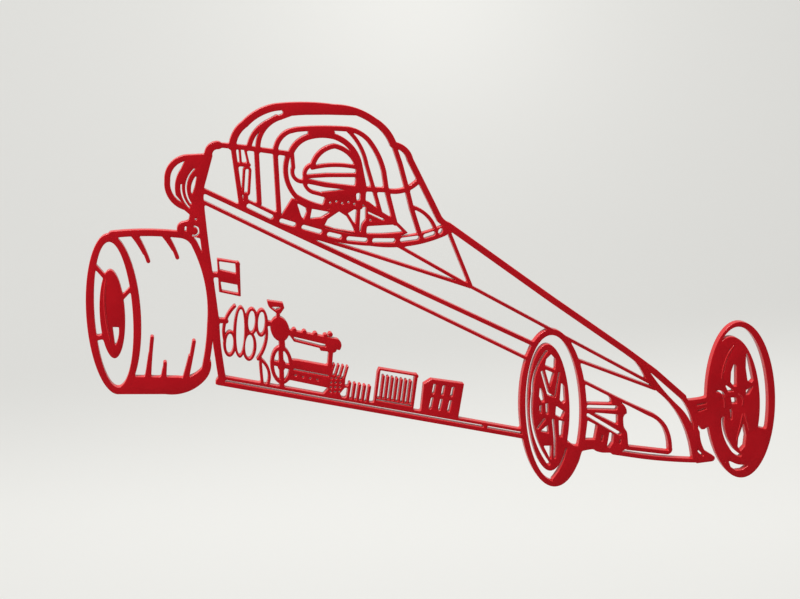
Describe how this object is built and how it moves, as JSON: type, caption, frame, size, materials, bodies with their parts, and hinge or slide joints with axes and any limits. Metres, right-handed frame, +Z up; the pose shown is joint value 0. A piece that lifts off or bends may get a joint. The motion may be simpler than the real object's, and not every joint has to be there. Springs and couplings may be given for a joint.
{
  "type": "cut-out drag racing car wall sign",
  "caption": "Flat open-work wall sign in the outline of a long-nosed drag racing car, seen from its front quarter, hung on a wall by a pad on its back.",
  "frame": {"origin": "centre of the bonding pad, on the back face of the block plate, in the plane of the wall", "axes": "+X to the right along the sign, towards the far front wheel; +Y into the wall; +Z up; the front of the sign faces -Y"},
  "size_m": [0.404, 0.0035, 0.2129],
  "materials": {
    "red_plastic": "satin"
  },
  "bodies": {
    "root": {"belt_bar": "red_plastic", "belt_rail_lower": "red_plastic", "belt_rail_upper": "red_plastic", "block_plate": "red_plastic", "blower_drum": "red_plastic", "blower_scoop": "red_plastic", "bottom_rail": "red_plastic", "canopy_sill": "red_plastic", "centre_hoop": "red_plastic", "chute_bracket": "red_plastic", "chute_pack": "red_plastic", "cowl_lines": "red_plastic", "crank_pulley": "red_plastic", "dash_panel": "red_plastic", "deck_bar": "red_plastic", "engine_block": "red_plastic", "far_axle": "red_plastic", "far_rim": "red_plastic", "far_tyre": "red_plastic", "filler_door": "red_plastic", "framed_plate": "red_plastic", "front_hoop": "red_plastic", "harness": "red_plastic", "head_restraint": "red_plastic", "head_ring": "red_plastic", "header_pipes": "red_plastic", "helmet_shell": "red_plastic", "helmet_visor": "red_plastic", "mirror_bracket": "red_plastic", "near_rim": "red_plastic", "near_tyre": "red_plastic", "neck_collar": "red_plastic", "nose_creases": "red_plastic", "nose_lip": "red_plastic", "nose_panel": "red_plastic", "nose_ridge": "red_plastic", "nose_strip": "red_plastic", "race_number": "red_plastic", "rear_hoop": "red_plastic", "rear_post": "red_plastic", "rear_rim": "red_plastic", "rear_sidewall": "red_plastic", "rear_tread": "red_plastic", "rocker_cover": "red_plastic", "roof_hoop": "red_plastic", "screen_frame": "red_plastic", "suspension_arms": "red_plastic", "suspension_upright": "red_plastic", "top_rail": "red_plastic", "vent_bars": "red_plastic"}
  },
  "joints": []
}
